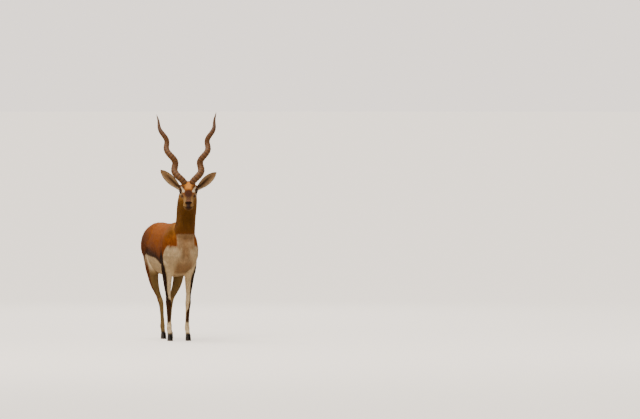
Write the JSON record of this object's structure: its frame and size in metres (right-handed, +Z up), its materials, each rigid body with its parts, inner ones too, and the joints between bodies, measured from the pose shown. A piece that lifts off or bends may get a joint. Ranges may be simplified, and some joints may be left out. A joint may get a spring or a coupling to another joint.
{
  "type": "blackbuck",
  "caption": "Life-size standing male blackbuck antelope with long ringed spiral horns, pricked ears and its head turned to its right.",
  "frame": {"origin": "on the floor, under the middle of the whole animal's box", "axes": "+Z up, -Y the way the chest points, +X the animal's left side; the face is turned 14.5 degrees to its right"},
  "size_m": [0.4176, 1.0376, 1.5472],
  "materials": {
    "coat": "short flat hair, brown and rufous above, white below",
    "ear": "thin skin with short hair, pale inside",
    "horn": "ringed keratin, satin, darker in the grooves",
    "hoof": "black keratin, satin",
    "eye": "dark and wet"
  },
  "bodies": {
    "root": {"head": "coat", "neck": "coat", "tail": "coat", "hoof_front_left_outer": "hoof", "hoof_front_left_inner": "hoof", "hoof_hind_left_outer": "hoof", "hoof_hind_left_inner": "hoof", "foreleg_upper_left": "coat", "foreleg_lower_left": "coat", "hindleg_upper_left": "coat", "hindleg_lower_left": "coat", "ear_left": "ear", "horn_left": "horn", "eye_left": "eye", "hoof_front_right_inner": "hoof", "hoof_front_right_outer": "hoof", "hoof_hind_right_inner": "hoof", "hoof_hind_right_outer": "hoof", "foreleg_upper_right": "coat", "foreleg_lower_right": "coat", "hindleg_upper_right": "coat", "hindleg_lower_right": "coat", "ear_right": "ear", "horn_right": "horn", "eye_right": "eye", "torso": "coat"}
  },
  "joints": []
}
